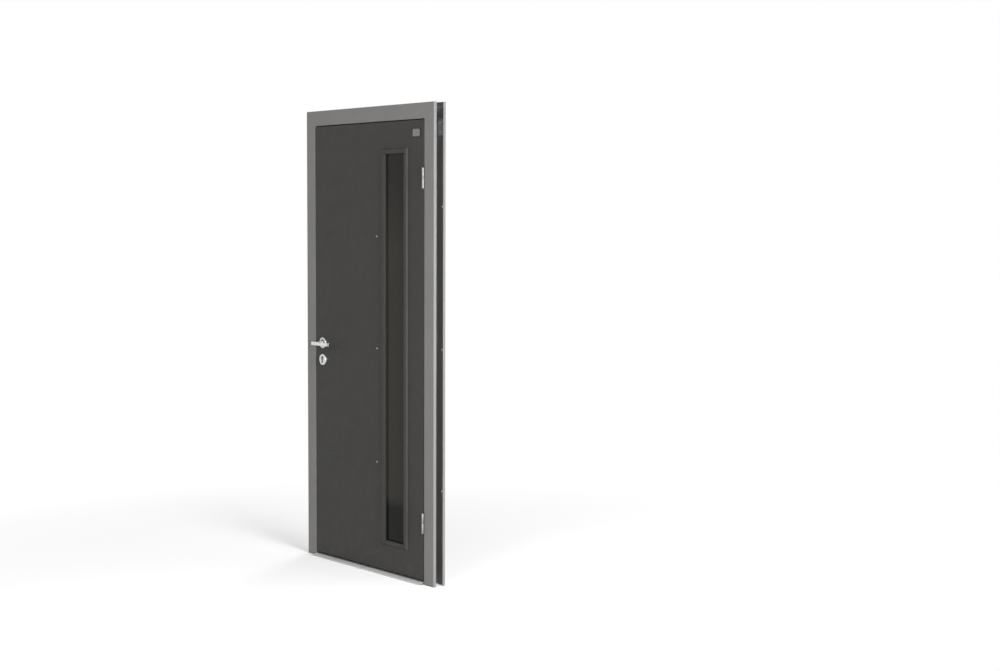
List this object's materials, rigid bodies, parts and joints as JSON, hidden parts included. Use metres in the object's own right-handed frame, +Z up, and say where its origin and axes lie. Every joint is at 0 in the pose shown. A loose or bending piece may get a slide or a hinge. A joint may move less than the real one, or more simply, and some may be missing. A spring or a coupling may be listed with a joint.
{
  "type": "metal shed door",
  "caption": "Metal shed door with a slim full-height window, lever handle and key lock, hung on side hinges in a folded steel frame with a threshold.",
  "frame": {"origin": "middle of the doorway's width, at the leaf's outer face, on the threshold's underside", "axes": "+X to the right seen from outside (lock to hinges), +Y inwards, +Z up"},
  "size_m": [0.988, 0.1708, 2.134],
  "materials": {
    "leaf_paint": "satin dark grey powder coat",
    "frame_paint": "satin mid grey powder coat",
    "stainless": "brushed stainless steel",
    "zinc_plate": "zinc plated steel",
    "sill_aluminium": "mill finish extrusion",
    "black_rubber": "matt seal rubber",
    "bearing_plastic": "moulded bearing plastic",
    "smoked_acrylic": "dark smoked acrylic"
  },
  "bodies": {
    "frame": {"hinge_jamb": "frame_paint", "lock_jamb": "frame_paint", "frame_head": "frame_paint", "threshold": "sill_aluminium", "threshold_screws": "stainless", "corner_cleats": "zinc_plate", "corner_screws": "stainless", "frame_seal": "black_rubber", "strike_plate": "stainless", "strike_screws": "stainless", "frame_backing_plates": "zinc_plate", "upper_hinge_frame_leaf": "stainless", "lower_hinge_frame_leaf": "stainless", "upper_hinge_pin": "zinc_plate", "lower_hinge_pin": "zinc_plate", "hinge_washers": "bearing_plastic", "hinge_frame_screws": "stainless"},
    "leaf": {"outer_skin": "leaf_paint", "inner_skin": "leaf_paint", "leaf_stiffeners": "zinc_plate", "lock_saddle": "zinc_plate", "leaf_backing_plates": "zinc_plate", "upper_hinge_door_leaf": "stainless", "lower_hinge_door_leaf": "stainless", "hinge_door_screws": "stainless", "window_bezel": "leaf_paint", "glazing_gasket": "black_rubber", "window_pane": "smoked_acrylic", "window_retainer": "leaf_paint", "retainer_screws": "zinc_plate", "lock_case": "zinc_plate", "lock_case_cover": "zinc_plate", "lock_forend": "stainless", "forend_screws": "stainless", "outer_rose_base": "bearing_plastic", "inner_rose_base": "bearing_plastic", "outer_rose": "stainless", "inner_rose": "stainless", "outer_key_rose_base": "bearing_plastic", "inner_key_rose_base": "bearing_plastic", "outer_key_rose": "stainless", "inner_key_rose": "stainless", "rose_bolts": "zinc_plate", "lock_cylinder": "stainless", "cylinder_screw": "stainless"},
    "lever_set": {"outer_lever": "stainless", "inner_lever": "stainless", "lever_spindle": "zinc_plate", "lock_follower": "zinc_plate", "lever_grub_screws": "zinc_plate"},
    "latch": {"latch_bolt": "stainless"},
    "deadbolt": {"dead_bolt": "stainless"},
    "key_core": {"cylinder_plug": "stainless", "cylinder_cam": "zinc_plate", "thumb_turn": "stainless"}
  },
  "joints": [
    {"name": "door_swing", "type": "hinge", "parent": "frame", "child": "leaf", "pos_m": [0.422, -0.0053, 1.04], "axis": [0, 0, 1], "range_deg": [0, 170]},
    {"name": "lever_turn", "type": "hinge", "parent": "leaf", "child": "lever_set", "pos_m": [-0.355, 0.0194, 1.035], "axis": [0, 1, 0], "range_deg": [0, 40], "stiffness_Nm_per_rad": 1.5, "springref_deg": -34.38},
    {"name": "latch_slide", "type": "slide", "parent": "leaf", "child": "latch", "axis": [1, 0, 0], "range_m": [0, 0.012]},
    {"name": "key_turn", "type": "hinge", "parent": "leaf", "child": "key_core", "pos_m": [-0.355, 0.0194, 0.963], "axis": [0, 1, 0], "range_deg": [0, 360]},
    {"name": "bolt_slide", "type": "slide", "parent": "leaf", "child": "deadbolt", "axis": [-1, 0, 0], "range_m": [0, 0.02]}
  ],
  "couplings": [
    {"joint": "latch_slide", "follows": "lever_turn", "m_per_rad": 0.017188},
    {"joint": "key_turn", "follows": "bolt_slide", "rad_per_m": 314.16}
  ]
}
